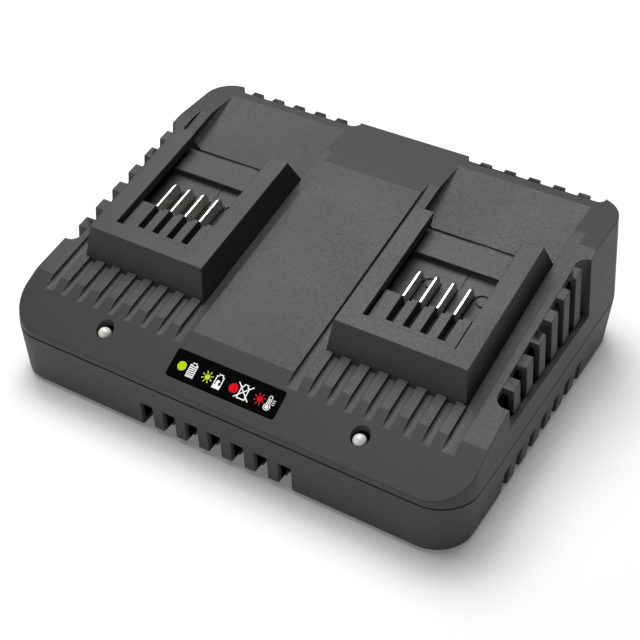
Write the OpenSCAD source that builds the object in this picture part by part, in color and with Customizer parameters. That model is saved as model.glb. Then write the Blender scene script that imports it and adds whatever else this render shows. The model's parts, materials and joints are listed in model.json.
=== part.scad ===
// Two-bay battery charger. Millimetres, +Z up, +X to the right seen from the front, front towards -Y.
// The origin is the middle of the footprint, on the surface that the feet stand on.

/* [Housing] */
// Full width at the parting line
body_w = 211; // [206:0.5:216]
// Full depth at the parting line
body_d = 162.6; // [158:0.1:165]
// Plan radius of the four corners at the parting line
corner_r = 17; // [16:0.5:18]
// Height of the parting line above the underside
seam_z = 23.8; // [23.4:0.1:24.2]
// Wall thickness of both shells
wall = 2.5; // [2.3:0.1:2.7]
// Draft of the upper walls, millimetres inward per millimetre of height
draft_up = 0.1; // [0.09:0.005:0.11]

/* [Sloping top] */
// Tilt of the battery docks, in degrees
tilt = 12.58; // [12.3:0.02:12.9]
// Depth of the cooling grooves at the front crease
groove_d = 1.95; // [1.6:0.05:2.1]
// Spacing of the raised ribs in front of the docks
rib_pitch = 8.09; // [8.0:0.01:8.15]
// Width of one raised rib
rib_w = 4.3; // [4:0.1:4.6]

/* [Battery docks] */
// Distance of each dock's middle from the middle of the charger
dock_x = 58.71; // [58.5:0.01:58.9]
// Half width of a dock's top face
dock_hw = 28.19; // [28:0.01:28.3]
// Length of a dock's top face along the slope
dock_l = 66.7; // [66:0.1:67]
// Half width of the slot between the two rails
slot_hw = 19.48; // [19.3:0.01:19.6]
// Thickness of the rails that hold the battery's foot
rail_t = 4.2; // [4:0.05:4.6]
// Half width of the pocket under the rails
pocket_hw = 25; // [24.8:0.1:25.2]
// Spacing of the contact blades
blade_pitch = 7.3; // [7.2:0.05:7.4]
// Thickness of a contact blade
blade_t = 0.9; // [0.8:0.05:1]

/* [Vents] */
// Spacing of the upright bars in the side vents
bar_pitch = 11.62; // [11.5:0.02:11.8]
// Width of one bar
bar_w = 5.8; // [5.5:0.1:6.1]
// Spacing of the bars in the rear vents
rear_pitch = 11.3; // [11.1:0.05:11.5]
// Spacing of the notches along the front bottom edge
front_pitch = 10.85; // [10.7:0.05:10.9]
// Height of the notches in the bottom edge
notch_h = 12.6; // [12:0.1:13]

/* [Fan] */
// Side of the square fan frame
fan_s = 40; // [40:1:40]
// Thickness of the fan frame
fan_t = 10; // [10:1:10]
// Radius of the fan shaft
shaft_r = 1; // [1:0.1:1.2]

/* [Feet] */
// How far the rubber feet stand proud of the underside
foot_out = 1.2; // [1:0.1:1.5]

/* [Hidden] */
$fn = 48;
e = 0.02;
ct = cos(tilt); st = sin(tilt);
// the slope's frame: its origin is the middle of the docks' front top edges
y0 = -40; z0 = 56.1;
function T(p) = [y0 + p[0]*ct - p[1]*st, z0 + p[0]*st + p[1]*ct];
// heights of the three slope surfaces in that frame
function top_z(y) = -12.6 + 0.0105*(y + 20.3);
function groove_z(y) = -12.6 - groove_d + 0.0148*(y + 26.9);
function rear_z(y) = -11.5 - 0.1735*(y - 84);
// the front slope, upright frame
front_m = 0.555;
function front_z(y) = 27.28 + front_m*(y + 78.82);
cx = body_w/2 - corner_r; cy = body_d/2 - corner_r;
// the parts are laid out from the docks' middle and with the front at -80; lift moves them to the origin
mid_x = 0.5; mid_y = body_d/2 - 80;
lift = [-mid_x, -mid_y, foot_out];
function r_up(z) = corner_r - draft_up*(z - seam_z);
r_bot = corner_r - 1.3;
plast = [0.17, 0.17, 0.175]; plast2 = [0.15, 0.15, 0.155];

// ---- helpers ----
module slope() translate([0, y0, z0]) rotate([tilt, 0, 0]) children();
// a YZ outline swept along X between two places
module yz(x1, x2, pts) translate([x1, 0, 0]) rotate([90, 0, 90]) linear_extrude(x2 - x1) polygon(pts);
// an XZ outline swept along Y between two places
module xz(y1, y2, pts) translate([0, y2, 0]) rotate([90, 0, 0]) linear_extrude(y2 - y1) polygon(pts);
module box(a, b) translate(a) cube(b - a);
// rounded rectangular block whose corner radius changes evenly with height
module rbox(z1, z2, r1, r2) translate([mid_x, mid_y, 0]) {
  xz(-cy, cy, [[-cx - r1, z1], [cx + r1, z1], [cx + r2, z2], [-cx - r2, z2]]);
  yz(-cx, cx, [[-cy - r1, z1], [cy + r1, z1], [cy + r2, z2], [-cy - r2, z2]]);
  for (i = [-1, 1], j = [-1, 1]) translate([i*cx, j*cy, z1]) cylinder(h = z2 - z1, r1 = r1, r2 = r2, $fn = 96);
}
module both() { children(); mirror([1, 0, 0]) children(); }
module bays() for (s = [-1, 1]) translate([s*dock_x, 0, 0]) children();
module bay(s) translate([s*dock_x, 0, 0]) children();
// round wire along straight runs
module wire(p, r) for (i = [0:len(p) - 2]) {
  d = p[i + 1] - p[i]; l = norm(d);
  translate(p[i]) rotate([0, acos(d[2]/l), atan2(d[1], d[0])]) cylinder(h = l, r = r, $fn = 24);
  if (i > 0) translate(p[i]) sphere(r = r*1.12, $fn = 24);
}
module screw(head_r, head_h, r, l) { translate([0, 0, -head_h]) cylinder(h = head_h, r = head_r); cylinder(h = l, r = r); }

// ---- upper shell ----
// everything below the sloping top, lowered by d
module under_top(d, flat) {
  f = T([-20.3, top_z(-20.3)]); k = T([84, top_z(84)]); b = T([122, rear_z(122)]);
  yz(-120, 120, [[-90, front_z(-90) - d*1.14], [f[0] + d*0.3, f[1] - d*1.05], [k[0], k[1] - d - flat], [b[0], b[1] - d - flat*0.4], [b[0], 0], [-90, 0]]);
}
side_y0 = -38.5; side_y1 = 38.5;
module side_recess_plan() {
  square_end = 4.5;
  translate([97.4 + square_end, side_y0, 0]) square([30, side_y1 - side_y0]);
  translate([97.4, side_y0 + square_end, 0]) square([10, side_y1 - side_y0 - 2*square_end]);
  for (y = [side_y0 + square_end, side_y1 - square_end]) translate([97.4 + square_end, y]) circle(r = square_end);
}
// rear vent: half width, sideways offset from the dock's middle, depth in plan
rear_half = 31.65; rear_off = 2.15; rear_y = 74.4;
module rear_recess_plan() translate([rear_off, 0]) {
  q = 3.6;
  translate([-rear_half, rear_y + q]) square([2*rear_half, 30]);
  translate([-rear_half + q, rear_y]) square([2*rear_half - 2*q, 10]);
  for (x = [-rear_half + q, rear_half - q]) translate([x, rear_y + q]) circle(r = q);
}
// side profile of a dock, in the slope's frame
dock_prof = [[0, 0], [dock_l, 0], [dock_l + 8.6, -22.4], [52, -19], [-8, -19]];
module dock_envelope(g) slope() intersection() {
  yz(-40, 40, [[-g, 0.5], [dock_l + g, 0.5], [dock_l + 0.385*30 + g, -30], [-0.42*30 - g, -30]]);
  xz(-60, 120, [[-dock_hw - g, 0], [dock_hw + g, 0], [dock_hw + 0.132*30 + g, -30], [-dock_hw - 0.132*30 - g, -30]]);
}
// open space above the ramp behind a dock
ramp_a = [36.5, 53.1]; ramp_b = [69.8, 64.4];
ramp_m = (ramp_b[1] - ramp_a[1])/(ramp_b[0] - ramp_a[0]);
function ramp_z(y) = ramp_a[1] + ramp_m*(y - ramp_a[0]);
ramp_hw = 30.2;
module ramp_cut() yz(-ramp_hw, ramp_hw, [[29, ramp_z(29)], [79, ramp_z(79)], [79, 90], [29, 90]]);
module ramp_slab() yz(-ramp_hw - 2.2, ramp_hw + 2.2, [[34.2, ramp_z(34.2) - 2.6], [74, ramp_z(74) - 2.6], [77, ramp_z(77) + 3], [34.2, 66]]);
boss_at = [[-92, -61], [92, -61], [-92, 62], [92, 62]];
dock_boss = [[-24.6, -26], [24.6, -26]];
// plan of the grooves and gutters of one bay, measured from where they run out on the front slope;
// c is the middle of the innermost rib, w the outer edge of the outer gutter, g the inner edge of the inner one
module groove_plan(c, w, g) {
  for (k = [0:6]) translate([c + k*rib_pitch + rib_w/2, -13]) square([rib_pitch - rib_w, 50]);
  translate([g, -13]) square([c - rib_w/2 - g, 60]);
  translate([g, 20.9]) square([29.6 - g, 97.4]);
  translate([c + 7*rib_pitch + rib_w/2, -13]) square([w - c - 7*rib_pitch - rib_w/2, 60]);
  translate([87.9, 20.9]) square([w - 87.9, 97.4]);
}
module grooves(c, w, g) slope() translate([0, -26.9, groove_z(-26.9)]) rotate([atan(0.0148), 0, 0]) linear_extrude(30) groove_plan(c, w, g);
led_y = -68.9;
label_y = -69.7; label_w = 49.8; label_h = 11.9;
module on_front(y, d) translate([0, y, front_z(y)]) rotate([atan(front_m), 0, 0]) translate([0, 0, d]) children();
module rounded(w, h, r, t) linear_extrude(t) {
  square([w - 2*r, h], center = true); square([w, h - 2*r], center = true);
  for (i = [-1, 1], j = [-1, 1]) translate([i*(w/2 - r), j*(h/2 - r)]) circle(r = r);
}
dot_x = [-20.1, -7.95, 4.2, 16.1];
// shell of nearly the walls' thickness, set back from them by a and from the top by b, kept only where the bars stand
module bars(a, b) difference() {
  intersection() { children(); rbox(seam_z, 70, corner_r - a, r_up(70) - a); under_top(b, 0); }
  intersection() { rbox(seam_z - 1, 70, corner_r - a - 2.5, r_up(70) - a - 2.6); under_top(b + 2.4, 0); }
}
module side_bars() for (i = [0:5]) box([96.6, -30.6 + i*bar_pitch, 33], [110, -30.6 + i*bar_pitch + bar_w, 70]);
module top_shell() {
  difference() {
    union() {
      difference() {
        intersection() { rbox(seam_z + 0.25, 70, corner_r, r_up(70)); under_top(0, 0); }
        intersection() { rbox(seam_z - 1, 70, corner_r - wall + 0.1, r_up(70) - wall); under_top(wall + 0.1, 1.9); }
      }
      intersection() {
        rbox(seam_z + 0.25, 70, corner_r - 0.5, r_up(70) - 0.5); under_top(0.3, 0);
        bays() ramp_slab();
      }
      // posts for the indicator board
      on_front(label_y, -5.16) for (x = [-23.4, 23.4]) translate([x, -3.6, 0]) cylinder(h = 3.2, r = 1.9);
      // screw bosses
      for (p = boss_at) intersection() { translate([p[0], p[1], 26.2]) cylinder(h = 40, r = 3.6); under_top(1, 0); }
      // stiffening ribs between the bosses and the walls
      for (i = [-1, 1], j = [-1, 1]) intersection() {
        box([i > 0 ? 92 : -102.4, j > 0 ? 61.2 : -61.8, 30], [i > 0 ? 102.4 : -92, j > 0 ? 62.8 : -60.2, 60]);
        rbox(seam_z, 70, corner_r - 1, r_up(70) - 1); under_top(1, 0);
      }
      // walls that close the rear ends of the side vents
      intersection() {
        both() box([94.6, 34.5, 34.1], [104.4, 41.2, 60]);
        rbox(seam_z, 70, corner_r - 1, r_up(70) - 1); under_top(1, 0);
      }
    }
    // grooves between the ribs, the two gutters beside each dock
    grooves(30.35, 94.1, 23.55);
    mirror([1, 0, 0]) grooves(31.5, 94.3, 24);
    bays() ramp_cut();
    bays() dock_envelope(0.12);
    // side and rear vents
    both() translate([0, 0, 34.6]) linear_extrude(60) side_recess_plan();
    bays() translate([0, 0, 40]) linear_extrude(60) rear_recess_plan();
    // indicator holes and the label's recess
    for (s = [-1, 1]) translate([s*59.1, led_y + 0.45, 20]) cylinder(h = 30, r = 3.7);
    on_front(label_y, -0.5) rounded(label_w + 0.3, label_h + 0.3, 1.25, 5);
    on_front(label_y, -6) for (x = dot_x) translate([x, -0.3, 0]) cylinder(h = 8, r = 1.9);
    on_front(label_y, -6) for (x = [-23.4, 23.4]) translate([x, -3.6, 0]) cylinder(h = 4.4, r = 0.75);
    // pilot holes in the bosses
    for (p = boss_at) translate([p[0], p[1], 20]) cylinder(h = 13.5, r = 1.5);
  }
  bars(1.9, 0.1) side_bars();
  bars(0.8, 0.1) mirror([1, 0, 0]) side_bars();
  bars(1.2, 0.1) bays() for (i = [-2:2]) box([rear_off + i*rear_pitch - 2.6, rear_y - 2, 38], [rear_off + i*rear_pitch + 2.6, 90, 70]);
}
module top_housing() color(plast) translate(lift) top_shell();

// ---- lower shell ----
module notch_front() for (k = [-3:3]) box([k*front_pitch - 2.9, -90, -5], [k*front_pitch + 2.9, -70.5, notch_h]);
notch_pitch = 11.85;
module notch_side() both() for (k = [0:6]) box([96, -35.55 + k*notch_pitch - 2.7, -5], [120, -35.55 + k*notch_pitch + 2.7, 11.5]);
gland_z = 14.4; gland_x = -46; gland_y = mid_y + body_d/2;
foot_at = [[-79, -62], [79, -62], [-79, 64.6], [79, 64.6]];
board_at = [[-74, -60], [74, -60], [-74, 60], [74, 60]];
key_x = 60;
fan_c = [-93.3, 9, 22.6];
module bottom_shell() {
  difference() {
    union() {
      difference() {
        union() {
          rbox(0.9, seam_z - 0.25, r_bot + 0.05, corner_r);
          rbox(0, 0.9, r_bot - 0.85, r_bot + 0.05);
        }
        rbox(wall, seam_z + 5, r_bot - wall, corner_r - wall + 0.2);
      }
      // tongue that locates the upper shell
      difference() {
        rbox(seam_z - 4, seam_z + 1, corner_r - wall - 0.2, corner_r - wall - 0.35);
        rbox(seam_z - 5, seam_z + 3, corner_r - wall - 1.5, corner_r - wall - 1.5);
      }
      // wall behind the tongue's foot
      difference() {
        rbox(seam_z - 6, seam_z - 1, corner_r - 1.2, corner_r - 1.2);
        rbox(seam_z - 7, seam_z + 3, corner_r - wall - 1.5, corner_r - wall - 1.5);
      }
      for (p = boss_at) translate([p[0], p[1], 1]) cylinder(h = 24.8, r = 4.4);
      for (p = board_at) translate([p[0], p[1], 1]) cylinder(h = 7.4, r = 3.4);
      // thick ring round the cord gland
      translate([gland_x, gland_y - 3.4, gland_z]) rotate([-90, 0, 0]) cylinder(h = 2.4, r = 8.4);
      // channels that hold the fan
      for (s = [-1, 1]) difference() {
        box([fan_c[0] - 7.2, fan_c[1] + s*20.4 - 2.2, 1], [fan_c[0] + 7.2, fan_c[1] + s*20.4 + 2.2, 22]);
        box([fan_c[0] - 5.15, fan_c[1] - 20.15, 0], [fan_c[0] + 5.15, fan_c[1] + 20.15, 30]);
      }
      // pads over the wall-mounting slots
      both() box([key_x - 7, 4, 1], [key_x + 7, 28, 5]);
    }
    // notches
    notch_front(); notch_side();
    box([-35.4, -90, -5], [35.4, -73, 1.5]);
    // screw holes and head recesses
    for (p = boss_at) { translate([p[0], p[1], -1]) cylinder(h = 40, r = 1.75); translate([p[0], p[1], -1]) cylinder(h = 10, r = 3.1); }
    for (p = board_at) translate([p[0], p[1], 3.4]) cylinder(h = 10, r = 1.25);
    for (p = foot_at) translate([p[0], p[1], -1]) cylinder(h = 2.2, r = 6.1);
    // cord gland's seat and hole
    translate([gland_x, gland_y - 10, gland_z]) rotate([-90, 0, 0]) cylinder(h = 20, r = 5.1);
    translate([gland_x, gland_y - 2.15, gland_z]) rotate([-90, 0, 0]) cylinder(h = 10, r = 7.1);
    // wall-mounting keyholes
    both() {
      translate([key_x, 12, -1]) cylinder(h = 8, r = 4.2);
      box([key_x - 2.2, 12, -1], [key_x + 2.2, 22, 8]);
      translate([key_x, 22, -1]) cylinder(h = 8, r = 2.2);
      box([key_x - 4.3, 12, 2.6], [key_x + 4.3, 22, 8]);
      translate([key_x, 22, 2.6]) cylinder(h = 8, r = 4.3);
    }
    // bare panel for a rating plate
    translate([0, 2, -1]) rounded(70, 44, 3, 1.3);
  }
}
module bottom_housing() color(plast2) translate(lift) bottom_shell();

// ---- battery docks ----
// heights and lengths inside the dock, in the slope's frame: floor, shelf, step between them, shelf's rear edge, block's top
floor_h = -9.4; shelf_h = -6.5; step_s = 49.2; shelf_end = 62.6; block_h = -3; pocket_s = 7.39;
// thin layer under the deck, between two depths below the ribs' tops
module under_deck(d1, d2, y1, y2) {
  a = T([y1, top_z(y1)]); b = T([y2, top_z(y2)]);
  yz(-32.8, 32.8, [[a[0], a[1] - d2], [b[0], b[1] - d2], [b[0], b[1] - d1], [a[0], a[1] - d1]]);
}
module dock_frame() {
  difference() {
    union() {
      intersection() {
        slope() yz(-40, 40, dock_prof);
        dock_envelope(0);
      }
      // flange that bears against the underside of the deck
      under_deck(4.62, 6.2, -10, 58);
    }
    // slot between the rails, dropping behind the shelf down to the ramp
    slope() box([-slot_hw, pocket_s, -rail_t - 0.01], [slot_hw, 100, 10]);
    slope() yz(-pocket_hw, pocket_hw, [[66.4, 10], [66.4, 0], [shelf_end, shelf_h], [70.4, -20.14], [90, -18.02], [90, 10]]);
    // pocket under the rails, its floor and the step up to the shelf
    slope() yz(-pocket_hw, pocket_hw, [[pocket_s, floor_h], [step_s, floor_h], [step_s, shelf_h], [110, shelf_h], [110, -rail_t], [pocket_s, -rail_t]]);
    // hollow under the floor
    slope() yz(-pocket_hw, pocket_hw, [[-2.4, -60], [-2.4, floor_h - 2.4], [step_s + 2.4, floor_h - 2.4], [step_s + 2.4, shelf_h - 2.4],
      [shelf_end - 1.2, shelf_h - 2.4], [68.5, -21.2], [68.5, -60]]);
    // narrow mark on the floor, and the moulding rings
    slope() box([4.25, 41.6, floor_h - 0.35], [4.65, step_s + 0.4, floor_h + 1]);
    slope() for (p = [[-7.63, 2.85], [14.9, 3.2]]) translate([p[0], 38.6, floor_h - 0.6]) difference() {
      cylinder(h = 2, r = p[1]); translate([0, 0, -1]) cylinder(h = 4, r = p[1] - 0.8);
    }
    // slits for the blades
    for (k = blade_k) box([k - 0.65, -17.2, 40], [k + 0.65, 1.6, 60]);
  }
  // screw lugs under the deck
  for (s = [-1, 1]) difference() {
    translate([s*20.5, -20, 41.4]) cylinder(h = 8.4, r = 3.2);
    translate([s*20.5, -20, 41]) cylinder(h = 6.2, r = 1.3);
  }
}
blade_k = [for (i = [-1.5:1:1.5]) i*blade_pitch - 0.33];
module dock_frame_left() color(plast) translate(lift) bay(-1) dock_frame();
module dock_frame_right() color(plast) translate(lift) bay(1) dock_frame();

block_s = 24.3;
module terminal_block() slope() difference() {
  box([-18.9, 9.1, floor_h + e], [18.2, block_s, block_h]);
  // slots for the other half of each contact, and a shallow step beside each
  for (k = blade_k) box([k - 0.5, 10.9, block_h - 5.2], [k + 2.5, 40, 10]);
  for (k = blade_k) box([k - 0.5, 23.7, -20], [k + 0.5, 40, 10]);
  for (k = blade_k) box([k + 2.4, block_s - 1.4, block_h - 5.2], [k + 3.9, 40, 10]);
}
module terminal_block_left() color(plast) translate(lift) bay(-1) terminal_block();
module terminal_block_right() color(plast) translate(lift) bay(1) terminal_block();

blade_prof = [T([23.9, -3]), T([37.4, -3]), T([38.4, -3.25]), T([39.15, -3.9]), T([39.6, -4.8]), T([39.8, -6]), [2.75, 47.2],
  [-5, 47.2], [-5, 41.6], [-8, 41.6], [-8, 47.2], [-13.53, 47.2]];
module terminal_blades() for (k = blade_k) yz(k - blade_t/2, k + blade_t/2, blade_prof);
module terminal_blades_left() color([0.78, 0.78, 0.78]) translate(lift) bay(-1) terminal_blades();
module terminal_blades_right() color([0.78, 0.78, 0.78]) translate(lift) bay(1) terminal_blades();

module terminal_board() difference() {
  box([-24.2, -23.5, 39.7], [24.2, 6, 41.3]);
  for (k = blade_k) box([k - 0.55, -8.2, 30], [k + 0.55, -4.8, 50]);
  for (s = [-1, 1]) translate([s*20.5, -20, 30]) cylinder(h = 20, r = 1.3);
}
module terminal_board_left() color([0.1, 0.35, 0.2]) translate(lift) bay(-1) terminal_board();
module terminal_board_right() color([0.1, 0.35, 0.2]) translate(lift) bay(1) terminal_board();

module dock_screws() color([0.55, 0.55, 0.55]) translate(lift) bays()
  for (s = [-1, 1]) translate([s*20.5, -20, 39.6]) screw(2.4, 1.6, 1.2, 7);

// ---- indicators ----
module status_label() color([0.03, 0.03, 0.03]) translate(lift) on_front(label_y, -0.48) rounded(label_w, label_h, 1.1, 0.42);
module indicator_board() color([0.1, 0.35, 0.2]) translate(lift) on_front(label_y, -5.2) difference() {
  box([-25, -6, -1.2], [25, 6, 0]);
  for (x = [-23.4, 23.4]) translate([x, -3.6, -2]) cylinder(h = 4, r = 0.95);
}
module indicator_screws() color([0.55, 0.55, 0.55]) translate(lift) on_front(label_y, -6.43)
  for (x = [-23.4, 23.4]) translate([x, -3.6, 0]) screw(1.5, 1, 0.7, 4);
module indicator_leds() color([0.9, 0.9, 0.8]) translate(lift) on_front(label_y, -5.18)
  for (x = dot_x) translate([x, -0.3, 0]) { box([-1.6, -1.1, 0], [1.6, 1.1, 0.7]); cylinder(h = 1.3, r = 0.9); }
module indicator_lead() color([0.35, 0.35, 0.4]) translate(lift) for (i = [0:4])
  wire([[10 + i*1.3, -64.2, 10.7], [10 + i*1.3, -64.2, 22], [10 + i*1.3, -66.1, 26.3]], 0.5);
led_top = 30.9;
module bay_led() { translate([0, led_y, led_top]) sphere(r = 2.75); translate([0, led_y, led_top - 5.5]) cylinder(h = 5.5, r = 2.75); translate([0, led_y, led_top - 6.5]) cylinder(h = 1, r = 3.3); }
module bay_led_left() color([0.92, 0.92, 0.9]) translate(lift + [-59.1, 0, 0]) bay_led();
module bay_led_right() color([0.92, 0.92, 0.9]) translate(lift + [59.1, 0, 0]) bay_led();
module led_spacers() color([0.85, 0.85, 0.8]) translate(lift) for (s = [-1, 1]) translate([s*59.1, led_y, 10.05]) difference() {
  cylinder(h = led_top - 6.52 - 10.05, r = 3); translate([0, 0, -1]) cylinder(h = 30, r = 1.6);
}

// ---- electronics ----
pcb_z = 8.42; pcb_t = 1.6; p_top = pcb_z + pcb_t + e;
module main_circuit_board() color([0.1, 0.35, 0.2]) translate(lift) difference() {
  box([-84, -73, pcb_z], [86, 68, pcb_z + pcb_t]);
  for (p = board_at) translate([p[0], p[1], 0]) cylinder(h = 20, r = 1.6);
  box([-90, -75, 0], [-80, -54, 20]);
  box([82, -75, 0], [90, -54, 20]);
}
module insulating_sheet() color([0.9, 0.88, 0.8]) translate(lift) difference() {
  box([-70, -55, wall + e], [70, 55, wall + 0.42]);
  both() box([key_x - 9, 2, 0], [key_x + 9, 30, 10]);
}
module part_at(p) translate(lift + [p[0], p[1], p_top]) children();
module transformer_core() color([0.2, 0.2, 0.22]) part_at([-4, 8]) difference() {
  box([-19, -16, 1], [19, 16, 33]);
  box([-13.5, -20, 6.5], [-5.5, 20, 27.5]);
  box([5.5, -20, 6.5], [13.5, 20, 27.5]);
}
module transformer_winding() color([0.85, 0.7, 0.2]) part_at([-4, 8]) {
  for (s = [-1, 1]) {
    box([s > 0 ? 5.6 : -13.4, -21, 7], [s > 0 ? 13.4 : -5.6, 21, 27]);
  }
  for (s = [-1, 1]) box([-13.4, s > 0 ? 16.1 : -21, 7], [13.4, s > 0 ? 21 : -16.1, 27]);
  for (s = [-1, 1]) box([-17, s > 0 ? 16.1 : -22.5, 0], [17, s > 0 ? 22.5 : -16.1, 6]);
}
module choke_core() color([0.25, 0.45, 0.3]) part_at([-62, 38]) translate([0, 0, 13]) rotate([90, 0, 0]) translate([0, 0, -4]) difference() {
  cylinder(h = 8, r = 10.5); translate([0, 0, -1]) cylinder(h = 10, r = 6);
}
module choke_winding() color([0.75, 0.4, 0.2]) part_at([-62, 38]) translate([0, 0, 13]) rotate([90, 0, 0]) for (s = [0, 180]) rotate([0, 0, s]) difference() {
  intersection() {
    translate([0, 0, -5.6]) cylinder(h = 11.2, r = 12);
    translate([0, 0, -6]) linear_extrude(12) polygon([[0, 0], [20, -22], [20, 22]]);
  }
  translate([0, 0, -4.1]) cylinder(h = 8.2, r = 10.6);
  translate([0, 0, -10]) cylinder(h = 20, r = 4.6);
}
module can(r, h) { cylinder(h = h - 1, r = r); cylinder(h = h, r = r - 0.8); }
module bulk_capacitors() color([0.12, 0.12, 0.16]) { part_at([-68, 2]) can(9, 27); part_at([-68, -25.5]) can(9, 27); }
module output_capacitors() color([0.1, 0.2, 0.35]) for (x = [12, 25], y = [-37, -24]) part_at([x, y]) can(5, 20);
module suppression_capacitor() color([0.8, 0.7, 0.2]) part_at([-38, 48]) box([-11, -5, 0], [11, 5, 15]);
module heat_sinks() color([0.75, 0.75, 0.77]) for (x = [34, 66]) part_at([x, 30]) {
  box([-14, -1.5, 0], [14, 1.5, 28]);
  for (i = [-3:3]) box([i*4.2 - 0.7, -9, 3], [i*4.2 + 0.7, -1.4, 28]);
}
module power_transistors() color([0.08, 0.08, 0.08]) for (x = [28, 40, 60, 72]) part_at([x, 31.52]) {
  box([-5, 0, 9], [5, 4.4, 18]); box([-5, 0, 18], [5, 1.3, 24]);
  for (i = [-1, 0, 1]) box([i*2.5 - 0.4, 1.4, 0], [i*2.5 + 0.4, 2, 9.2]);
}
module bridge_rectifier() color([0.08, 0.08, 0.08]) part_at([-8, 56]) { box([-11, -2, 4], [11, 2, 19]); for (i = [-1.5:1:1.5]) box([i*5 - 0.6, -0.4, 0], [i*5 + 0.6, 0.4, 4.2]); }
module mains_fuse() color([0.8, 0.85, 0.85]) part_at([-66, 50]) translate([0, 0, 4]) rotate([0, 90, 0]) translate([0, 0, -10]) {
  cylinder(h = 20, r = 2.4); cylinder(h = 5, r = 2.7); translate([0, 0, 15]) cylinder(h = 5, r = 2.7);
}
module mains_terminal() color([0.15, 0.4, 0.25]) part_at([-26, 61]) difference() {
  box([-6, -4, 0], [6, 4, 10]);
  for (s = [-1, 1]) { translate([s*2.8, 0, 3]) cylinder(h = 10, r = 1.8); translate([s*2.8, -2, 4]) rotate([-90, 0, 0]) cylinder(h = 10, r = 1.3); }
}
module leads(s) for (i = [0:3]) {
  x = blade_k[i]; w = x*0.7 - s*11; r = i == 0 || i == 3 ? 1.2 : 0.8;
  translate([x, 1.5, 34]) cylinder(h = 5.6, r = r, $fn = 24);
  translate([x, 1.5, 34]) sphere(r = r*1.15, $fn = 24);
  d = [w - x, 0, -14]; l = norm(d);
  translate([x, 1.5, 34]) rotate([0, acos(d[2]/l), atan2(d[1], d[0])]) cylinder(h = l, r = r, $fn = 24);
  translate([w, 1.5, 20]) sphere(r = r*1.15, $fn = 24);
  translate([w, 1.5, 12.3]) cylinder(h = 7.7, r = r, $fn = 24);
  box([w - 1.7, -0.2, p_top], [w + 1.7, 3.2, 12.4]);
  box([x - 1.6, 0, 38.4], [x + 1.6, 3, 39.68]);
}
module output_leads_left() color([0.6, 0.1, 0.1]) translate(lift + [0, -14, 0]) bay(-1) leads(-1);
module output_leads_right() color([0.6, 0.1, 0.1]) translate(lift + [0, -14, 0]) bay(1) leads(1);

// ---- cord gland ----
module cord_gland() color([0.06, 0.06, 0.06]) translate(lift + [gland_x, 0, gland_z]) rotate([-90, 0, 0]) difference() {
  union() {
    translate([0, 0, gland_y - 2.13]) cylinder(h = 1.2, r = 7);
    translate([0, 0, gland_y - 7]) cylinder(h = 5.2, r = 5);
    translate([0, 0, gland_y - 7]) cylinder(h = 2.8, r = 6.4);
  }
  translate([0, 0, 60]) cylinder(h = 40, r = 3.6);
}

// ---- fan ----
hub_r = 9; blade_r = 18.3;
module fan_frame() color([0.08, 0.08, 0.08]) translate(fan_c + lift) rotate([0, 90, 0]) {
  difference() {
    translate([-fan_s/2, -fan_s/2, -fan_t/2]) cube([fan_s, fan_s, fan_t]);
    translate([0, 0, -fan_t]) cylinder(h = 2*fan_t, r = 18.9);
    for (i = [-1, 1], j = [-1, 1]) translate([i*16, j*16, -fan_t]) cylinder(h = 2*fan_t, r = 1.7);
  }
  difference() {
    union() {
      translate([0, 0, -fan_t/2]) cylinder(h = 1.4, r = 9.2);
      for (a = [45:90:315]) rotate([0, 0, a]) translate([8, -1.3, -fan_t/2]) cube([11.6, 2.6, 1.4]);
      translate([0, 0, -fan_t/2 + 1]) cylinder(h = 5, r = 3);
    }
    translate([0, 0, -fan_t]) cylinder(h = 2*fan_t, r = 2);
  }
}
module fan_bearing() color([0.7, 0.55, 0.3]) translate(fan_c + lift) rotate([0, 90, 0]) translate([0, 0, -fan_t/2 + 0.1]) difference() {
  cylinder(h = 5.8, r = 1.98); translate([0, 0, -1]) cylinder(h = 10, r = shaft_r + 0.04);
}
module fan_impeller() color([0.1, 0.1, 0.1]) translate(fan_c + lift) rotate([0, 90, 0]) {
  difference() {
    translate([0, 0, -fan_t/2 + 2]) cylinder(h = 7.4, r = hub_r);
    translate([0, 0, -fan_t/2 + 1]) cylinder(h = 6.8, r = hub_r - 1.4);
  }
  translate([0, 0, -fan_t/2 + 0.4]) cylinder(h = 8.4, r = shaft_r);
  intersection() {
    for (i = [0:6]) rotate([0, 0, i*360/7]) translate([hub_r - 0.4, 0, 0.6]) rotate([38, 0, 0]) translate([0, -6, -0.45]) cube([14, 12, 0.9]);
    difference() { translate([0, 0, -2.8]) cylinder(h = 7, r = blade_r); translate([0, 0, -5]) cylinder(h = 12, r = hub_r - 0.3); }
  }
}
module fan_lead() color([0.5, 0.1, 0.1]) translate(lift) for (i = [0, 1])
  wire([[-88.1, -6 - i*2.4, 14], [-80.5, -6 - i*2.4, 14], [-80.5, -6 - i*2.4, 10.1]], 0.6);

// ---- fasteners and feet ----
module housing_screws() color([0.4, 0.4, 0.42]) translate(lift) for (p = boss_at) translate([p[0], p[1], 9 - 0.02]) difference() {
  screw(2.9, 2.4, 1.42, 24);
  translate([0, 0, -3]) cylinder(h = 1.8, r = 1.2, $fn = 6);
}
module board_screws() color([0.55, 0.55, 0.55]) translate(lift) for (p = board_at) translate([p[0], p[1], p_top]) mirror([0, 0, 1]) screw(2.8, 1.8, 1.2, 5.6);
module rubber_feet() color([0.05, 0.05, 0.05]) for (p = foot_at) translate([p[0] - mid_x, p[1] - mid_y, 0]) {
  translate([0, 0, 0.6]) cylinder(h = foot_out + 0.55, r = 6);
  cylinder(h = 0.6, r1 = 5.4, r2 = 6);
}

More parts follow.
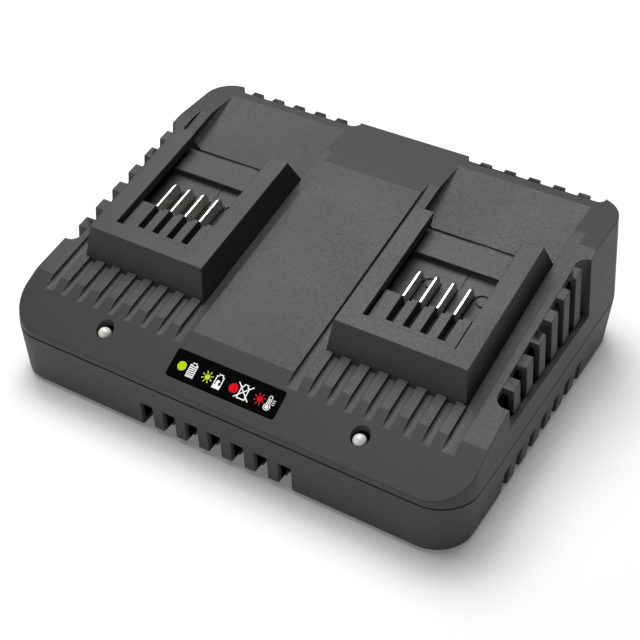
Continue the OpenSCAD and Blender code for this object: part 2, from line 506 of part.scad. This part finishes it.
top_housing();
bottom_housing();
dock_frame_left();
dock_frame_right();
terminal_block_left();
terminal_block_right();
terminal_blades_left();
terminal_blades_right();
terminal_board_left();
terminal_board_right();
dock_screws();
status_label();
indicator_board();
indicator_screws();
indicator_leds();
indicator_lead();
bay_led_left();
bay_led_right();
led_spacers();
main_circuit_board();
insulating_sheet();
transformer_core();
transformer_winding();
choke_core();
choke_winding();
bulk_capacitors();
output_capacitors();
suppression_capacitor();
heat_sinks();
power_transistors();
bridge_rectifier();
mains_fuse();
mains_terminal();
output_leads_left();
output_leads_right();
cord_gland();
fan_frame();
fan_bearing();
fan_impeller();
fan_lead();
housing_screws();
board_screws();
rubber_feet();
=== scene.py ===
import json
import math

import bmesh
import bpy
import numpy as np
from mathutils import Matrix, Vector
from mathutils.bvhtree import BVHTree


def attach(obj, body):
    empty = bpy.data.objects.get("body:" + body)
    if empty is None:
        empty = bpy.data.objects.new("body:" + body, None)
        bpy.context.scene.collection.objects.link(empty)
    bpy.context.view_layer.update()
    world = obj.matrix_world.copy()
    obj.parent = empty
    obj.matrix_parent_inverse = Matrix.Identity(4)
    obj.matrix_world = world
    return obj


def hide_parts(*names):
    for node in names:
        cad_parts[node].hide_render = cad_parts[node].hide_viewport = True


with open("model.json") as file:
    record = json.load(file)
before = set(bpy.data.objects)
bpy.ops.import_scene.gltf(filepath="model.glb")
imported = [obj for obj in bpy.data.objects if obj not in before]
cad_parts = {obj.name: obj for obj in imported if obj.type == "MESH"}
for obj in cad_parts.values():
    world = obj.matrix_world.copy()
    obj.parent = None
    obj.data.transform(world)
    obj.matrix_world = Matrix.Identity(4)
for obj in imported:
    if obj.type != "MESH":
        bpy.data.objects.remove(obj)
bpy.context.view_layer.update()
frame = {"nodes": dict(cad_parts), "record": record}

scene = bpy.context.scene
NODES = frame["nodes"]
FOOT = 0.0012


# ------------------------------------------------------------------ materials

class Mat:
    """A small helper that lays out one procedural material."""

    def __init__(self, name, color, rough=0.6, metallic=0.0, spec=0.5):
        self.m = bpy.data.materials.new(name)
        self.m.use_nodes = True
        self.t = self.m.node_tree
        self.b = self.t.nodes["Principled BSDF"]
        self.color = color
        self.b.inputs["Base Color"].default_value = (*color, 1)
        self.b.inputs["Roughness"].default_value = rough
        self.b.inputs["Metallic"].default_value = metallic
        self.b.inputs["Specular IOR Level"].default_value = spec
        self.m.diffuse_color = (*color, 1)
        self.coord = self.t.nodes.new("ShaderNodeTexCoord").outputs["Object"]
        self.heights = []

    def node(self, kind, **inputs):
        n = self.t.nodes.new(kind)
        for k, v in inputs.items():
            n.inputs[k.replace("_", " ")].default_value = v
        return n

    def mapping(self, scale=(1, 1, 1), rot=(0, 0, 0)):
        n = self.t.nodes.new("ShaderNodeMapping")
        n.inputs["Scale"].default_value = scale
        n.inputs["Rotation"].default_value = rot
        self.t.links.new(self.coord, n.inputs["Vector"])
        return n.outputs[0]

    def noise(self, size, detail=2.0, rough=0.5, vec=None, distortion=0.0):
        n = self.t.nodes.new("ShaderNodeTexNoise")
        n.inputs["Scale"].default_value = 1.0 / size
        n.inputs["Detail"].default_value = detail
        n.inputs["Roughness"].default_value = rough
        n.inputs["Distortion"].default_value = distortion
        self.t.links.new(vec or self.coord, n.inputs["Vector"])
        return n.outputs["Fac"]

    def voronoi(self, size, vec=None, feature="F1"):
        n = self.t.nodes.new("ShaderNodeTexVoronoi")
        n.feature = feature
        n.inputs["Scale"].default_value = 1.0 / size
        self.t.links.new(vec or self.coord, n.inputs["Vector"])
        return n.outputs["Distance"]

    def wave(self, size, direction="X", vec=None, profile="SIN", distortion=0.0):
        n = self.t.nodes.new("ShaderNodeTexWave")
        n.wave_type = "BANDS"
        n.bands_direction = direction
        n.wave_profile = profile
        n.inputs["Scale"].default_value = 0.314 / size
        n.inputs["Distortion"].default_value = distortion
        self.t.links.new(vec or self.coord, n.inputs["Vector"])
        return n.outputs["Fac"]

    def ramp(self, fac, stops):
        n = self.t.nodes.new("ShaderNodeValToRGB")
        e = n.color_ramp.elements
        while len(e) < len(stops):
            e.new(0.5)
        for i, (p, c) in enumerate(stops):
            e[i].position = p
            e[i].color = (*c, 1) if len(c) == 3 else c
        self.t.links.new(fac, n.inputs["Fac"])
        return n.outputs["Color"]

    def range(self, fac, a, b, lo=0.0, hi=1.0):
        n = self.t.nodes.new("ShaderNodeMapRange")
        for k, v in (("From Min", lo), ("From Max", hi), ("To Min", a), ("To Max", b)):
            n.inputs[k].default_value = v
        self.t.links.new(fac, n.inputs["Value"])
        return n.outputs["Result"]

    def mix(self, fac, a, b):
        n = self.t.nodes.new("ShaderNodeMix")
        n.data_type = "RGBA"
        for sock, v in (("Factor", fac), ("A", a), ("B", b)):
            i = [s for s in n.inputs if s.name == sock and (sock == "Factor" and s.type == "VALUE" or s.type == "RGBA")][0]
            if hasattr(v, "is_linked"):
                self.t.links.new(v, i)
            elif sock == "Factor":
                i.default_value = v
            else:
                i.default_value = (*v, 1)
        return [o for o in n.outputs if o.type == "RGBA"][0]

    def math(self, op, a, b=None):
        n = self.t.nodes.new("ShaderNodeMath")
        n.operation = op
        for i, v in enumerate((a, b)):
            if v is None:
                continue
            if hasattr(v, "is_linked"):
                self.t.links.new(v, n.inputs[i])
            else:
                n.inputs[i].default_value = v
        return n.outputs[0]

    def base(self, sock):
        self.t.links.new(sock, self.b.inputs["Base Color"])
        return self

    def rough(self, sock):
        self.t.links.new(sock, self.b.inputs["Roughness"])
        return self

    def height(self, sock, distance, strength=1.0):
        self.heights.append((sock, distance, strength))
        return self

    def done(self):
        prev = None
        for sock, distance, strength in self.heights:
            n = self.t.nodes.new("ShaderNodeBump")
            n.inputs["Distance"].default_value = distance
            n.inputs["Strength"].default_value = strength
            self.t.links.new(sock, n.inputs["Height"])
            if prev is not None:
                self.t.links.new(prev, n.inputs["Normal"])
            prev = n.outputs["Normal"]
        if prev is not None:
            self.t.links.new(prev, self.b.inputs["Normal"])
        return self.m


def times(c, k):
    return tuple(min(1.0, v * k) for v in c)


def moulded(name, color, rough=0.55, grain=0.0009, depth=0.00003, spec=0.5):
    """Moulded plastic with a fine spark-eroded grain, faint flow clouds and slightly uneven sheen."""
    m = Mat(name, color, rough, spec=spec)
    clouds = m.noise(0.045, 3, 0.55, distortion=0.4)
    fine = m.noise(grain, 2, 0.6)
    cells = m.voronoi(grain * 1.3)
    base = m.mix(m.range(clouds, 0, 1, 0.3, 0.7), times(color, 0.93), times(color, 1.06))
    base = m.mix(m.range(fine, 0, 0.3, 0.35, 0.7), base, times(color, 0.8))
    m.base(base)
    m.rough(m.math("ADD", m.range(fine, rough - 0.05, rough + 0.07, 0.3, 0.7), m.range(clouds, -0.03, 0.03, 0.3, 0.7)))
    m.height(fine, depth, 0.55)
    m.height(cells, depth * 0.8, 0.35)
    return m.done()


def metal(name, color, rough=0.3, stretch=(1, 1, 1), grain=0.0004):
    m = Mat(name, color, rough, metallic=1.0)
    v = m.mapping(stretch)
    streak = m.noise(grain, 3, 0.6, v)
    broad = m.noise(0.006, 2, 0.5)
    m.base(m.mix(m.range(broad, 0, 1, 0.3, 0.7), times(color, 0.88), times(color, 1.05)))
    m.rough(m.math("ADD", m.range(streak, rough - 0.08, rough + 0.1, 0.3, 0.7), m.range(broad, -0.04, 0.05, 0.3, 0.7)))
    m.height(streak, 0.00001, 0.25)
    return m.done()


M = {}
M["housing_plastic"] = moulded("housing_plastic", (0.0351, 0.0340, 0.0344), 0.56)
M["lower_plastic"] = moulded("lower_plastic", (0.0372, 0.0354, 0.0360), 0.58)
M["dock_plastic"] = moulded("dock_plastic", (0.0340, 0.0326, 0.0331), 0.54)
M["contact_metal"] = metal("contact_metal", (0.86, 0.855, 0.84), 0.3, (1, 0.04, 1), 0.0012)
M["screw_steel"] = metal("screw_steel", (0.5, 0.5, 0.5), 0.35)
M["sink_aluminium"] = metal("sink_aluminium", (0.72, 0.72, 0.74), 0.42, (1, 1, 0.08))
M["bearing_bronze"] = metal("bearing_bronze", (0.55, 0.38, 0.17), 0.45)


def circuit_board():
    m = Mat("circuit_board", (0.008, 0.03, 0.015), 0.5)
    tracks = m.voronoi(0.007, feature="DISTANCE_TO_EDGE")
    line = m.range(tracks, 1, 0, 0.05, 0.09)
    weave = m.wave(0.0006, "X")
    m.base(m.mix(line, (0.006, 0.024, 0.012), (0.011, 0.045, 0.022)))
    m.rough(m.range(weave, 0.46, 0.56))
    m.height(line, 0.00004, 0.7)
    m.height(weave, 0.00001, 0.3)
    return m.done()


M["circuit_board"] = circuit_board()


def label_film():
    m = Mat("label_film", (0.002, 0.0016, 0.0018), 0.6, spec=0.015)
    orange = m.noise(0.0015, 2)
    smear = m.noise(0.012, 2)
    m.base(m.mix(m.range(smear, 0, 1, 0.3, 0.7), (0.0016, 0.0013, 0.0015), (0.0024, 0.002, 0.0022)))
    m.rough(m.range(smear, 0.55, 0.65, 0.3, 0.7))
    m.height(orange, 0.00001, 0.3)
    return m.done()


M["label_film"] = label_film()


def lens():
    m = Mat("led_plastic", (0.83, 0.83, 0.82), 0.18, spec=0.6)
    m.b.inputs["Subsurface Weight"].default_value = 0.35
    m.b.inputs["Subsurface Radius"].default_value = (0.002, 0.002, 0.002)
    m.b.inputs["Coat Weight"].default_value = 0.6
    m.b.inputs["Coat Roughness"].default_value = 0.08
    haze = m.noise(0.0016, 3)
    m.base(m.mix(m.range(haze, 0, 1, 0.3, 0.7), (0.72, 0.72, 0.71), (0.88, 0.88, 0.87)))
    m.rough(m.range(haze, 0.14, 0.26, 0.3, 0.7))
    m.height(haze, 0.00002, 0.3)
    return m.done()


M["led_plastic"] = lens()


def simple(name, color, rough, grain=0.0012, depth=0.00003, var=0.12, spec=0.5):
    m = Mat(name, color, rough, spec=spec)
    n = m.noise(grain, 3, 0.6)
    c = m.noise(grain * 14, 2)
    m.base(m.mix(m.range(c, 0, 1, 0.3, 0.7), times(color, 1 - var), times(color, 1 + var)))
    m.rough(m.range(n, max(0.05, rough - 0.08), min(1, rough + 0.08), 0.3, 0.7))
    m.height(n, depth, 0.6)
    return m.done()


def wound(name, color, pitch, direction, rough=0.4):
    m = Mat(name, color, rough)
    w = m.wave(pitch, direction)
    c = m.noise(0.004, 2)
    m.base(m.mix(m.range(w, 0, 1, 0.0, 0.6), times(color, 0.45), m.mix(c, times(color, 0.9), times(color, 1.1))))
    m.rough(m.range(c, rough - 0.08, rough + 0.1, 0.3, 0.7))
    m.height(w, 0.0002, 0.8)
    return m.done()


M["natural_plastic"] = simple("natural_plastic", (0.7, 0.68, 0.6), 0.5)
M["ferrite"] = simple("ferrite", (0.05, 0.05, 0.055), 0.5, 0.0006, 0.00006)
M["winding_tape"] = wound("winding_tape", (0.75, 0.55, 0.08), 0.004, "Z", 0.35)
M["ferrite_green"] = simple("ferrite_green", (0.05, 0.18, 0.09), 0.35)
M["copper_wire"] = wound("copper_wire", (0.55, 0.2, 0.07), 0.0009, "Y", 0.3)
M["capacitor_dark"] = simple("capacitor_dark", (0.018, 0.018, 0.03), 0.28)
M["capacitor_blue"] = simple("capacitor_blue", (0.015, 0.04, 0.15), 0.28)
M["capacitor_yellow"] = simple("capacitor_yellow", (0.6, 0.45, 0.05), 0.35)
M["black_plastic"] = simple("black_plastic", (0.02, 0.02, 0.021), 0.45, 0.0007, 0.00004)
M["green_plastic"] = simple("green_plastic", (0.03, 0.17, 0.07), 0.45)
M["lead_red"] = simple("lead_red", (0.4, 0.025, 0.02), 0.4)
M["lead_grey"] = simple("lead_grey", (0.25, 0.25, 0.27), 0.45)
M["gland_rubber"] = simple("gland_rubber", (0.016, 0.016, 0.016), 0.72, 0.0009, 0.00008, 0.2, 0.35)
M["foot_rubber"] = simple("foot_rubber", (0.018, 0.018, 0.018), 0.8, 0.0008, 0.0001, 0.25, 0.3)
M["fuse_glass"] = simple("fuse_glass", (0.75, 0.8, 0.8), 0.12, 0.002, 0.00001)


# ------------------------------------------------------------------ meshes

def clean(node):
    """A welded copy of a CAD node's mesh with its flat faces joined, as bmesh. A layer numbers the CAD face each face lies on."""
    bm = bmesh.new()
    bm.from_mesh(NODES[node].data)
    patch = bm.faces.layers.int.new("patch")
    bm.verts.index_update()
    up = list(range(len(bm.verts)))

    def root(i):
        while up[i] != i:
            up[i] = up[up[i]]
            i = up[i]
        return i

    for f in bm.faces:
        r = root(f.verts[0].index)
        for v in f.verts[1:]:
            up[root(v.index)] = r
    for f in bm.faces:
        f[patch] = root(f.verts[0].index)
    bmesh.ops.remove_doubles(bm, verts=bm.verts, dist=2e-6)
    bmesh.ops.dissolve_degenerate(bm, dist=1e-6, edges=bm.edges)
    bmesh.ops.dissolve_limit(bm, angle_limit=math.radians(0.4), use_dissolve_boundaries=False, verts=bm.verts, edges=bm.edges)
    bm.normal_update()
    return bm, patch


def seg_dist(p, a, b):
    ab = b - a
    t = max(0.0, min(1.0, (p - a).dot(ab) / max(ab.length_squared, 1e-18)))
    return (p - a - ab * t).length


def edge_widths(bm, patch, width, angle=9.5):
    """How wide each convex edge may be rounded before it reaches a neighbouring edge."""
    lim = math.radians(angle)
    sharp = {}
    for e in bm.edges:
        if e.is_manifold and e.calc_face_angle(0) > lim and e.link_faces[0][patch] != e.link_faces[1][patch]:
            sharp[e] = e.is_convex
    allowed = {e: width for e, convex in sharp.items() if convex}
    for f in bm.faces:
        loops = list(f.loops)
        n = len(loops)
        here = [i for i in range(n) if loops[i].edge in sharp]
        if len(here) < 2:
            continue
        for i in here:
            e = loops[i].edge
            if e not in allowed:
                continue
            skip = {i}
            for step in (1, -1):
                path, turn, j, prev = 0.0, 0.0, i, None
                d0 = (loops[i].link_loop_next.vert.co - loops[i].vert.co).normalized()
                while True:
                    j = (j + step) % n
                    if j == i:
                        break
                    d1 = (loops[j].link_loop_next.vert.co - loops[j].vert.co)
                    l = d1.length
                    d1 = d1.normalized() if l > 0 else d0
                    turn += math.degrees(d0.angle(d1, 0.0))
                    if turn > 100 or path > 2.5 * width:
                        if path == 0.0:
                            skip.add(j)
                        break
                    skip.add(j)
                    path += l
                    d0 = d1
            a, b = e.verts[0].co, e.verts[1].co
            samples = (a.lerp(b, 0.15), a.lerp(b, 0.5), a.lerp(b, 0.85))
            best = allowed[e]
            for j in here:
                if j in skip:
                    continue
                g = loops[j].edge
                ga, gb = g.verts[0].co, g.verts[1].co
                k = 0.46 if sharp[g] else 0.85
                for s in samples:
                    d = seg_dist(s, ga, gb) * k
                    if d < best:
                        best = d
            allowed[e] = best
    # where two edges leave a corner nearly side by side, both stay sharp there
    for v in bm.verts:
        out = [e for e in v.link_edges if allowed.get(e, 0.0) > 0.0]
        for i, e in enumerate(out):
            d = (e.other_vert(v).co - v.co).normalized()
            for g in out[i + 1:]:
                if d.angle((g.other_vert(v).co - v.co).normalized(), 0.0) < math.radians(48):
                    allowed[e] = allowed[g] = 0.0
    return sharp, allowed


def rounded_mesh(node, width, segments, keep_sharp):
    """A node's mesh with its convex edges rounded, except those that pass near one of the given points."""
    bm, patch = clean(node)
    layer = bm.edges.layers.float.new("bevel_weight_edge")
    patch = bm.faces.layers.int["patch"]
    sharp, allowed = edge_widths(bm, patch, width)
    for f in bm.faces:
        f.smooth = True
    for e in bm.edges:
        e.smooth = True
    for e in sharp:
        w = allowed.get(e, 0.0)
        if w and any(seg_dist(p, e.verts[0].co, e.verts[1].co) < reach for p, reach in keep_sharp):
            w = 0.0
        e[layer] = min(1.0, w / width) if w > 0.00003 else 0.0
        e.smooth = e[layer] > 0
    me = bpy.data.meshes.new(node + "_skin")
    bm.to_mesh(me)
    bm.free()
    o = bpy.data.objects.new(node + "_skin", me)
    scene.collection.objects.link(o)
    b = o.modifiers.new("round", "BEVEL")
    b.width = width
    b.segments = segments
    b.limit_method = "WEIGHT"
    b.use_clamp_overlap = False
    b.profile = 0.5
    b.miter_outer = "MITER_SHARP"
    dg = bpy.context.evaluated_depsgraph_get()
    new = bpy.data.meshes.new_from_object(o.evaluated_get(dg))
    o.modifiers.clear()
    o.data = new
    bpy.data.meshes.remove(me)
    new.name = node + "_skin"
    return o


def low_corner(me):
    return Vector([min(v.co[i] for v in me.vertices) for i in range(3)])


# pieces of the same shape that only stand elsewhere
TWIN = {"dock_frame_left": "dock_frame_right", "terminal_block_left": "terminal_block_right",
        "terminal_blades_left": "terminal_blades_right"}


def skin(node, slot, width=0.00045, segments=3, body="charger", mat=None):
    """The same shape as a CAD node, with its outer edges rounded as a mould leaves them."""
    twin = TWIN.get(node, node)
    src = NODES[twin].data
    near = BVHTree.FromPolygons([v.co.copy() for v in src.vertices], [tuple(f.vertices) for f in src.polygons])
    keep_sharp = []
    for attempt in range(4):
        o = rounded_mesh(twin, width, segments, keep_sharp)
        # a rounding that ran past the CAD surface is taken back around that place
        wild = []
        for v in o.data.vertices:
            hit = near.find_nearest(v.co)
            if hit[3] > 0.00024:
                wild.append((hit[0].copy(), 0.0003 + 0.0004 * attempt))
                wild.append((v.co.copy(), 0.0003 + 0.0004 * attempt))
        if not wild or attempt == 3:
            break
        keep_sharp += wild
        old = o.data
        bpy.data.objects.remove(o)
        bpy.data.meshes.remove(old)
    new = o.data
    if twin != node:
        o.name = new.name = node + "_skin"
        new.transform(Matrix.Translation(low_corner(NODES[node].data) - low_corner(src)))
    new.materials.clear()
    new.materials.append(mat or M[slot])
    w = o.modifiers.new("normals", "WEIGHTED_NORMAL")
    w.mode = "FACE_AREA"
    w.weight = 60
    w.keep_sharp = True
    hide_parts(node)
    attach(o, body)
    return o


SLOT = {s["node"]: s["material_slot"] for s in frame["record"]["subparts"]}
ROUND = {"top_housing": 0.00024, "bottom_housing": 0.00045, "dock_frame_left": 0.0004, "dock_frame_right": 0.0004,
         "terminal_block_left": 0.0003, "terminal_block_right": 0.0003, "rubber_feet": 0.0004, "cord_gland": 0.0003,
         "status_label": 0.00008, "terminal_blades_left": 0.00012, "terminal_blades_right": 0.00012, "transformer_core": 0.0005,
         "transformer_winding": 0.0006, "suppression_capacitor": 0.0006, "insulating_sheet": 0.00005, "fan_frame": 0.0003}
for n in sorted(NODES):
    skin(n, SLOT[n], ROUND.get(n, 0.00018), 3 if ROUND.get(n, 0) > 0.0002 else 2, "impeller" if n == "fan_impeller" else "charger")

# ------------------------------------------------------------------ printed marks on the label

def ink(name, color, painted_glow):
    """Printed ink: even colour with a faint screen texture, plus a painted glow, a small emission of the ink's own
    colour that brightens the marks though no lamp lights them.
    """
    m = Mat(name, color, 0.5, spec=0.05)
    screen = m.noise(0.0002, 2)
    drift = m.noise(0.0016, 2)
    m.base(m.mix(m.range(drift, 0, 1, 0.3, 0.7), times(color, 0.94), times(color, 1.04)))
    m.rough(m.range(screen, 0.4, 0.52, 0.3, 0.7))
    m.height(screen, 0.000004, 0.4)
    # painted glow: the ink emits its own colour
    m.b.inputs["Emission Color"].default_value = (*color, 1)
    m.b.inputs["Emission Strength"].default_value = painted_glow
    return m.done()


# the last number is the strength of each ink's painted glow
INK_WHITE = ink("ink_white", (0.84, 0.84, 0.82), 0.36)
INK_GREEN = ink("ink_green", (0.48, 0.66, 0.004), 0.12)
INK_LIME = ink("ink_lime", (0.52, 0.69, 0.05), 0.12)
INK_RED = ink("ink_red", (0.72, 0.002, 0.008), 0.12)
INK_ROSE = ink("ink_rose", (0.5, 0.02, 0.035), 0.1)
SLOPE = math.atan(0.555)
LABEL_AT = Vector((-0.0005, -0.0710, 0.0273 - 0.00002 + 0.555 * 0.00912 + FOOT))
LABEL_UP = Vector((0, math.cos(SLOPE), math.sin(SLOPE)))
LABEL_OUT = Vector((0, -math.sin(SLOPE), math.cos(SLOPE)))


class Print:
    """Flat marks on the label, in millimetres from the label's middle: u to the right, v up the slope."""

    def __init__(self, name, mat, lift=0.0):
        self.name, self.mat, self.bm, self.lift = name, mat, bmesh.new(), lift

    def at(self, u, v, h):
        return LABEL_AT + Vector((u / 1000, 0, 0)) + LABEL_UP * (v / 1000) + LABEL_OUT * ((h - 0.062) / 1000)

    def plate(self, pts, hole=None):
        bm, lo, hi = self.bm, self.lift, self.lift + 0.032
        area = sum(a[0] * b[1] - b[0] * a[1] for a, b in zip(pts, pts[1:] + pts[:1]))
        if area < 0:
            pts = pts[::-1]
            hole = hole[::-1] if hole else None
        low = [bm.verts.new(self.at(u, v, lo)) for u, v in pts]
        top = [bm.verts.new(self.at(u, v, hi)) for u, v in pts]
        n = len(pts)
        for i in range(n):
            j = (i + 1) % n
            bm.faces.new((low[i], low[j], top[j], top[i]))
        if hole is None:
            bm.faces.new(top)
            bm.faces.new(low[::-1])
            return self
        low2 = [bm.verts.new(self.at(u, v, lo)) for u, v in hole]
        top2 = [bm.verts.new(self.at(u, v, hi)) for u, v in hole]
        for i in range(n):
            j = (i + 1) % n
            bm.faces.new((top[i], top[j], top2[j], top2[i]))
            bm.faces.new((low[j], low[i], low2[i], low2[j]))
            bm.faces.new((top2[i], top2[j], low2[j], low2[i]))
        return self

    def disc(self, u, v, r, n=40):
        return self.plate([(u + r * math.cos(2 * math.pi * i / n), v + r * math.sin(2 * math.pi * i / n)) for i in range(n)])

    def ring(self, u, v, r, w, n=40):
        c = [(math.cos(2 * math.pi * i / n), math.sin(2 * math.pi * i / n)) for i in range(n)]
        return self.plate([(u + r * x, v + r * y) for x, y in c], [(u + (r - w) * x, v + (r - w) * y) for x, y in c])

    def stroke(self, a, b, w, caps=6):
        """A straight line with round ends."""
        d = math.atan2(b[1] - a[1], b[0] - a[0])
        pts = []
        for c, start in ((b, d - math.pi / 2), (a, d + math.pi / 2)):
            pts += [(c[0] + w / 2 * math.cos(start + math.pi * i / caps), c[1] + w / 2 * math.sin(start + math.pi * i / caps)) for i in range(caps + 1)]
        return self.plate(pts)

    def burst(self, u, v, r0, r1, w, n=8, turn=0.0):
        for i in range(n):
            a = turn + 2 * math.pi * i / n
            c, s = math.cos(a), math.sin(a)
            self.stroke((u + r0 * c, v + r0 * s), (u + r1 * c, v + r1 * s), w)
        return self

    def finish(self):
        bm = self.bm
        bmesh.ops.recalc_face_normals(bm, faces=bm.faces)
        me = bpy.data.meshes.new(self.name)
        bm.to_mesh(me)
        bm.free()
        me.materials.append(self.mat)
        o = bpy.data.objects.new(self.name, me)
        scene.collection.objects.link(o)
        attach(o, "charger")
        return o


def cell_outline(u0, v0, w, h, nub_w, nub_h, inset=0.0, floor=None):
    """Outline of an upright battery: a box with a narrower nub on top. inset draws its inner edge."""
    k = inset
    lo = v0 + k if floor is None else floor
    a, b = u0 + (w - nub_w) / 2, u0 + (w + nub_w) / 2
    return [(u0 + k, lo), (u0 + w - k, lo), (u0 + w - k, v0 + h - k), (b - k * 0.4, v0 + h - k), (b - k * 0.8, v0 + h + nub_h - k),
            (a + k * 0.8, v0 + h + nub_h - k), (a + k * 0.4, v0 + h - k), (u0 + k, v0 + h - k)]


def thermometer(u, v, r, half, top, inset=0.0):
    """Outline of a bulb with a round-ended stem above it."""
    r, half = r - inset, half - inset
    a0 = math.asin(half / r)
    pts = [(u + r * math.sin(a0 + (2 * math.pi - 2 * a0) * i / 26), v + r * math.cos(a0 + (2 * math.pi - 2 * a0) * i / 26)) for i in range(27)]
    pts += [(u - half * math.cos(math.pi * i / 10), top + half * math.sin(math.pi * i / 10)) for i in range(11)]
    return pts


Print("mark_full_light", INK_GREEN).disc(-20.1, -0.2, 1.68).finish()
Print("mark_full_halo", INK_LIME).ring(-20.1, -0.2, 1.96, 0.26).finish()
full = Print("mark_full_battery", INK_WHITE)
full.plate(cell_outline(-17.0, -3.45, 3.5, 5.4, 2.0, 0.85), cell_outline(-17.0, -3.45, 3.5, 5.4, 2.0, 0.85, 0.34))
for i in range(6):
    full.plate([(-16.5, -2.93 + i * 0.81), (-14.0, -2.93 + i * 0.81), (-14.0, -2.51 + i * 0.81), (-16.5, -2.51 + i * 0.81)])
full.finish()
Print("mark_charging_light", INK_LIME).disc(-7.95, -0.4, 1.12).finish()
Print("mark_charging_rays", INK_LIME).burst(-7.95, -0.4, 1.62, 2.4, 0.44, 8, math.pi / 8).finish()
half = Print("mark_charging_battery", INK_WHITE)
outline = cell_outline(-4.5, -3.5, 3.5, 5.3, 2.0, 0.85)
window = cell_outline(-4.5, -3.5, 3.5, 5.3, 2.0, 0.85, 0.4, -1.95)
half.plate(outline, window)
half.plate([(-3.6, -1.94), (-2.3, -1.94), (-2.5, -1.05), (-2.05, -0.3), (-3.0, 0.3), (-3.6, -0.35)])
half.finish()
Print("mark_fault_light", INK_RED).disc(4.2, -0.4, 1.72).finish()
Print("mark_fault_halo", INK_ROSE).ring(4.2, -0.4, 1.99, 0.25).finish()
Print("mark_fault_battery", INK_WHITE).plate(cell_outline(6.9, -3.5, 3.75, 5.3, 2.0, 1.0), cell_outline(6.9, -3.5, 3.75, 5.3, 2.0, 1.0, 0.42)).finish()
Print("mark_fault_cross_a", INK_WHITE, 0.01).stroke((5.35, 2.7), (12.0, -3.4), 0.42).finish()
Print("mark_fault_cross_b", INK_WHITE, 0.02).stroke((5.75, -3.35), (11.9, 2.7), 0.42).finish()
Print("mark_heat_light", INK_RED).disc(16.1, -0.4, 1.14).finish()
Print("mark_heat_rays", INK_ROSE).burst(16.1, -0.4, 1.62, 2.38, 0.42, 8, math.pi / 8).finish()
heat = Print("mark_heat_thermometer", INK_WHITE)
heat.plate(thermometer(20.15, -2.2, 1.45, 0.82, 1.75), thermometer(20.15, -2.2, 1.45, 0.82, 1.75, 0.3))
heat.plate(thermometer(20.15, -2.2, 0.78, 0.17, 1.2))
for i in range(3):
    v = -0.75 + i * 0.85
    heat.stroke((21.5, v - 0.12), (22.0, v + 0.14), 0.22)
    heat.stroke((22.2, v - 0.05), (22.65, v + 0.17), 0.22)
heat.finish()

# ------------------------------------------------------------------ camera, floor, light

cam_data = bpy.data.cameras.new("camera")
cam_data.sensor_width = 36.0
cam_data.sensor_fit = "HORIZONTAL"
cam_data.lens = 72.25
cam_data.clip_start = 0.01
cam_data.clip_end = 20.0
cam = bpy.data.objects.new("camera", cam_data)
scene.collection.objects.link(cam)
RIGHT = Vector((0.85666809, 0.51585409, 0.0037872))
DOWN = Vector((0.32862439, -0.5400512, -0.77482302))
AHEAD = Vector((-0.39765034, 0.66501072, -0.63216687))
rot = Matrix((RIGHT, -DOWN, -AHEAD)).transposed().to_4x4()
cam.matrix_world = Matrix.Translation((0.21883, -0.36692, 0.36293 + FOOT)) @ rot
scene.camera = cam

floor_mesh = bpy.data.meshes.new("floor")
floor_mesh.from_pydata([(-4, -4, -0.00005), (4, -4, -0.00005), (4, 4, -0.00005), (-4, 4, -0.00005)], [], [(0, 1, 2, 3)])
floor = bpy.data.objects.new("floor", floor_mesh)
scene.collection.objects.link(floor)
fm = Mat("floor", (0.93, 0.93, 0.93), 0.9, spec=0.1)
fm.b.inputs["Emission Color"].default_value = (1, 1, 1, 1)
fm.b.inputs["Emission Strength"].default_value = 0.12
floor_mesh.materials.append(fm.done())


def area(name, loc, target, size, power, color=(1, 1, 1)):
    d = bpy.data.lights.new(name, "AREA")
    d.shape = "RECTANGLE"
    d.size, d.size_y = size
    d.energy = power
    d.color = color
    o = bpy.data.objects.new(name, d)
    scene.collection.objects.link(o)
    o.location = loc
    o.rotation_euler = (Vector(target) - Vector(loc)).to_track_quat("-Z", "Y").to_euler()
    return o


def softbox(name, around, up, size, power, distance=1.3):
    """A soft panel aimed at the object: around is counted from the front towards the right, up from the floor, in degrees."""
    a, e = math.radians(around), math.radians(up)
    loc = (distance * math.cos(e) * math.sin(a), -distance * math.cos(e) * math.cos(a), distance * math.sin(e) + 0.03)
    area(name, loc, (0, 0, 0.03), size, power)


softbox("top_panel", 0, 90, (0.7, 0.7), 4.4)
softbox("back_panel", 180, 65, (0.7, 0.6), 3.4)
softbox("back_left_panel", -135, 60, (0.7, 0.7), 7.8)
softbox("left_panel", -90, 70, (0.7, 0.7), 4.7)
softbox("front_low_panel", 0, 13, (0.9, 0.4), 3.0)
world = bpy.data.worlds.new("world")
scene.world = world
world.use_nodes = True
bg = world.node_tree.nodes["Background"]
bg.inputs[0].default_value = (1, 1, 1, 1)
bg.inputs[1].default_value = 0.006
scene.view_settings.view_transform = "Standard"
scene.view_settings.look = "None"
